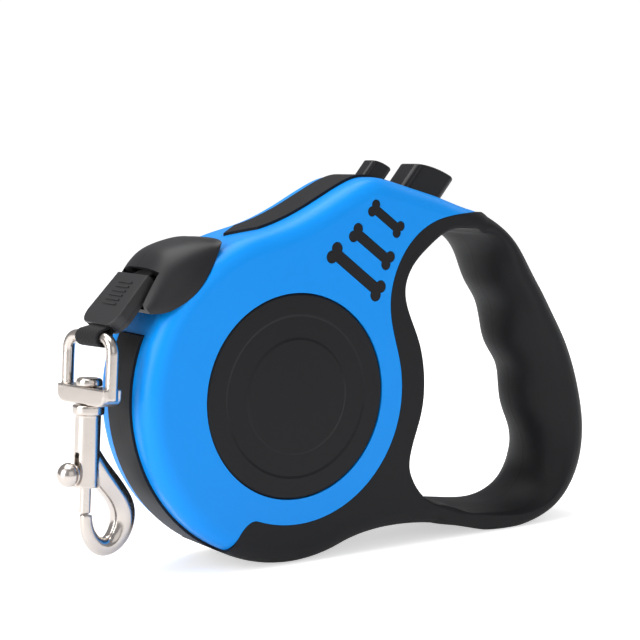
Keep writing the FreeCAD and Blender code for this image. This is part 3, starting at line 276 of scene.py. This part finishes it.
def at_lead(along):
    """A side-plane point on the lead, from where it leaves the coil."""
    return (LEAD_FROM[0] + along * LEAD_RUN[0], LEAD_FROM[1] + along * LEAD_RUN[1])


BEND = at_lead(LEAD_LENGTH)


def at_guard(along, out):
    """A side-plane point along the guard from its top end, and outwards from the webbing's middle."""
    return (BEND[0] + (along + 1.0) * GUARD_RUN[0] + out * GUARD_RUN[1],
            BEND[1] + (along + 1.0) * GUARD_RUN[1] - out * GUARD_RUN[0])


def between(a, b, count):
    """Evenly spaced points from a up to, but without, b."""
    return [(a[0] + (b[0] - a[0]) * i / count, a[1] + (b[1] - a[1]) * i / count) for i in range(count)]


def touch(spot, centre, hand):
    """Angle at which a line from spot touches the wrap round the bar."""
    dx, dz = spot[0] - centre[0], spot[1] - centre[1]
    return math.atan2(dz, dx) + hand * math.acos(BAR_WRAP / math.hypot(dx, dz))


def strip_route(y):
    """Middle line of the strip at one place across it: lead, outer layer, wrap round the bar, inner layer."""
    layer = TAPE_THICK / 2
    bar = (BAR[0] - y * math.tan(BAR_TURN), BAR[1])
    outer, inner = at_guard(GUARD_END, layer), at_guard(GUARD_END, -layer)
    first, last = touch(outer, bar, 1), touch(inner, bar, -1)
    while last < first:
        last += 2 * math.pi
    angles = [first + (last - first) * i / WRAP_STEPS for i in range(WRAP_STEPS + 1)]
    wrap = [(bar[0] + BAR_WRAP * math.cos(angle), bar[1] + BAR_WRAP * math.sin(angle)) for angle in angles]
    entry, end = at_guard(1.0, layer), at_guard(0.6, -layer)
    points = between(at_lead(LEAD_START), at_lead(LEAD_END), 20) + between(at_lead(LEAD_END), entry, 4)
    points += between(entry, outer, 12) + between(outer, wrap[0], 4) + wrap
    return points + between(wrap[-1], inner, 4)[1:] + between(inner, end, 12) + [end]


ACROSS = [-1.0, -0.985, -0.95, -0.8, -0.5, -0.2, 0.1, 0.4, 0.7, 0.9, 0.97, 1.0]
SELVEDGE = 0.06
SELVEDGE_LEAST = 0.06
FULLNESS = 0.94


def strip_mesh():
    """The strip as a closed mesh with thin rounded selvedges; its UVs are metres along and across."""
    mesh = bmesh.new()
    layer = mesh.loops.layers.uv.new("strip")
    rows = []
    middle = strip_route(TAPE_SHIFT)
    runs = [0.0]
    for a, b in zip(middle, middle[1:]):
        runs.append(runs[-1] + math.dist(a, b))
    for t in ACROSS:
        route = strip_route(TAPE_SHIFT + t * TAPE_HALF)
        into_edge = max(0.0, (abs(t) - 1.0 + SELVEDGE) / SELVEDGE)
        full = math.sqrt(max(0.0, 1.0 - into_edge ** 2)) * 0.5 + SELVEDGE_LEAST
        row = []
        for i, (x, z) in enumerate(route):
            before, after = route[max(i - 1, 0)], route[min(i + 1, len(route) - 1)]
            length = math.dist(before, after)
            normal = ((after[1] - before[1]) / length, -(after[0] - before[0]) / length)
            blend = min(1.0, max(0.0, (runs[i] - SHIFT_STARTS) / SHIFT_LENGTH))
            y = t * TAPE_HALF + TAPE_SHIFT * blend
            pair = []
            for side in (1, -1):
                offset = side * full * FULLNESS * TAPE_THICK
                spot = Vector((x + normal[0] * offset, y, AXLE + z + normal[1] * offset)) * MM
                pair.append(mesh.verts.new(spot))
            row.append(pair)
        rows.append(row)
    last_row, last_column = len(rows) - 1, len(rows[0]) - 1

    def quad(corners, places):
        """A smooth face; places holds each corner's index along and across the strip."""
        face = mesh.faces.new(corners)
        face.smooth = True
        for loop, (i, j) in zip(face.loops, places):
            loop[layer].uv = (runs[i] * MM, ACROSS[j] * TAPE_HALF * MM)

    for j in range(last_row):
        for i in range(last_column):
            places = [(i, j), (i + 1, j), (i + 1, j + 1), (i, j + 1)]
            quad([rows[b][a][0] for a, b in places], places)
            quad([rows[b][a][1] for a, b in reversed(places)], places[::-1])
    for j in (0, last_row):
        for i in range(last_column):
            places = [(i, j), (i + 1, j), (i + 1, j), (i, j)]
            quad([rows[j][i][0], rows[j][i + 1][0], rows[j][i + 1][1], rows[j][i][1]], places)
    for i in (0, last_column):
        for j in range(last_row):
            places = [(i, j), (i, j + 1), (i, j + 1), (i, j)]
            quad([rows[j][i][0], rows[j + 1][i][0], rows[j + 1][i][1], rows[j][i][1]], places)
    bmesh.ops.recalc_face_normals(mesh, faces=mesh.faces)
    data = bpy.data.meshes.new("webbing_strip")
    mesh.to_mesh(data)
    mesh.free()
    data.materials.append(materials["webbing"])
    return data


strip = bpy.data.objects.new("webbing_strip", strip_mesh())
bpy.context.collection.objects.link(strip)
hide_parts("tape_end")
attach(strip, "tape")

# ---------------------------------------------------------------- cast and polished metal of the snap


def cast(node, body, voxel, smooth):
    """A softened copy of a CAD node: its creases filled and its edges worn round, as on a plated casting."""
    source = nodes[node]
    piece = bpy.data.objects.new(node + "_cast", source.data.copy())
    piece.matrix_world = source.matrix_world.copy()
    bpy.context.collection.objects.link(piece)
    remesh = piece.modifiers.new("remesh", "REMESH")
    remesh.mode = "VOXEL"
    remesh.voxel_size = voxel * MM
    soften = piece.modifiers.new("soften", "SMOOTH")
    soften.factor = 0.5
    soften.iterations = smooth
    graph = bpy.context.evaluated_depsgraph_get()
    made = bpy.data.meshes.new_from_object(piece.evaluated_get(graph))
    piece.modifiers.clear()
    piece.data = made
    made.materials.clear()
    made.materials.append(materials["nickel"])
    for polygon in made.polygons:
        polygon.use_smooth = True
    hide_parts(node)
    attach(piece, body)


cast("hook_body", "hook", 0.2, 8)
cast("swivel_eye", "eye", 0.2, 8)
cast("bolt_knob", "bolt", 0.16, 4)

# ---------------------------------------------------------------- stage, light and camera


def backdrop_paper(name, color, roughness, dim, bright):
    """Paper that glows: bright where it is seen straight, dim where it lights the object."""
    made = material(name, color, roughness, specular=0.2)
    tree = made.node_tree
    bump(made, noise(tree, position(tree), 60.0, 2.0), 0.00002)
    shader = tree.nodes["Principled BSDF"]
    shader.inputs["Emission Color"].default_value = (1.0, 1.0, 1.0, 1.0)
    straight = tree.nodes.new("ShaderNodeLightPath")
    glow = ramp(tree, straight.outputs["Is Camera Ray"], dim, bright, 0.0, 1.0)
    tree.links.new(glow, shader.inputs["Emission Strength"])
    return made


def sheet_of(name, corners, made):
    """A flat stage surface from its corners."""
    mesh = bpy.data.meshes.new(name)
    mesh.from_pydata(corners, [], [list(range(len(corners)))])
    mesh.materials.append(made)
    piece = bpy.data.objects.new(name, mesh)
    bpy.context.collection.objects.link(piece)
    return piece


REACH = 60.0
sheet_of("floor", [(-REACH, -REACH, 0), (REACH, -REACH, 0), (REACH, REACH, 0), (-REACH, REACH, 0)],
         backdrop_paper("floor_pale", (0.93, 0.93, 0.94), 0.6, 0.14, 0.56))


def light(name, spot, target, power, width, height):
    """A softbox at spot that faces target."""
    data = bpy.data.lights.new(name, "AREA")
    data.shape = "RECTANGLE"
    data.energy = power
    data.size = width
    data.size_y = height
    lamp = bpy.data.objects.new(name, data)
    lamp.location = spot
    lamp.rotation_euler = (Vector(target) - Vector(spot)).to_track_quat("-Z", "Y").to_euler()
    bpy.context.collection.objects.link(lamp)


MIDDLE = (0.03, 0.0, 0.055)
light("top_box", (-0.1, 0.15, 0.9), MIDDLE, 5.5, 0.9, 0.7)
light("left_box", (-0.95, 0.0, 0.4), MIDDLE, 6.0, 0.6, 0.8)
light("front_box", (-0.2, -1.1, 0.5), MIDDLE, 1.2, 0.9, 0.7)
light("right_box", (0.95, 0.1, 0.35), MIDDLE, 1.0, 0.4, 0.8)

WHITE = (1.0, 1.0, 1.0, 1.0)
world = bpy.data.worlds.new("studio")
world.use_nodes = True
world_tree = world.node_tree
world_tree.nodes.remove(world_tree.nodes["Background"])


def surround(color, strength):
    """One even surrounding of the studio."""
    node = world_tree.nodes.new("ShaderNodeBackground")
    node.inputs["Color"].default_value = color
    node.inputs["Strength"].default_value = strength
    return node.outputs["Background"]


def choose(rays, otherwise, chosen):
    """The chosen surrounding for one kind of ray, and the other for the rest."""
    node = world_tree.nodes.new("ShaderNodeMixShader")
    world_tree.links.new(rays, node.inputs["Fac"])
    world_tree.links.new(otherwise, node.inputs[1])
    world_tree.links.new(chosen, node.inputs[2])
    return node.outputs["Shader"]


kind_of_ray = world_tree.nodes.new("ShaderNodeLightPath")
room, walls, backdrop = surround(WHITE, 0.56), surround((0.30, 0.30, 0.31, 1.0), 1.0), surround(WHITE, 1.05)
lit = choose(kind_of_ray.outputs["Is Glossy Ray"], room, walls)
seen = choose(kind_of_ray.outputs["Is Camera Ray"], lit, backdrop)
world_tree.links.new(seen, world_tree.nodes["World Output"].inputs["Surface"])
bpy.context.scene.world = world

CAMERA_AT = Vector((-0.2446, -0.3947, 0.1148))
CAMERA_RUN = Vector((0.5517, 0.8283, -0.0979))
camera_data = bpy.data.cameras.new("camera")
camera_data.lens = 90.0
camera_data.sensor_width = 36.0
camera = bpy.data.objects.new("camera", camera_data)
camera.location = CAMERA_AT
camera.rotation_euler = CAMERA_RUN.to_track_quat("-Z", "Y").to_euler()
bpy.context.collection.objects.link(camera)
bpy.context.scene.camera = camera
bpy.context.scene.view_settings.view_transform = "Standard"
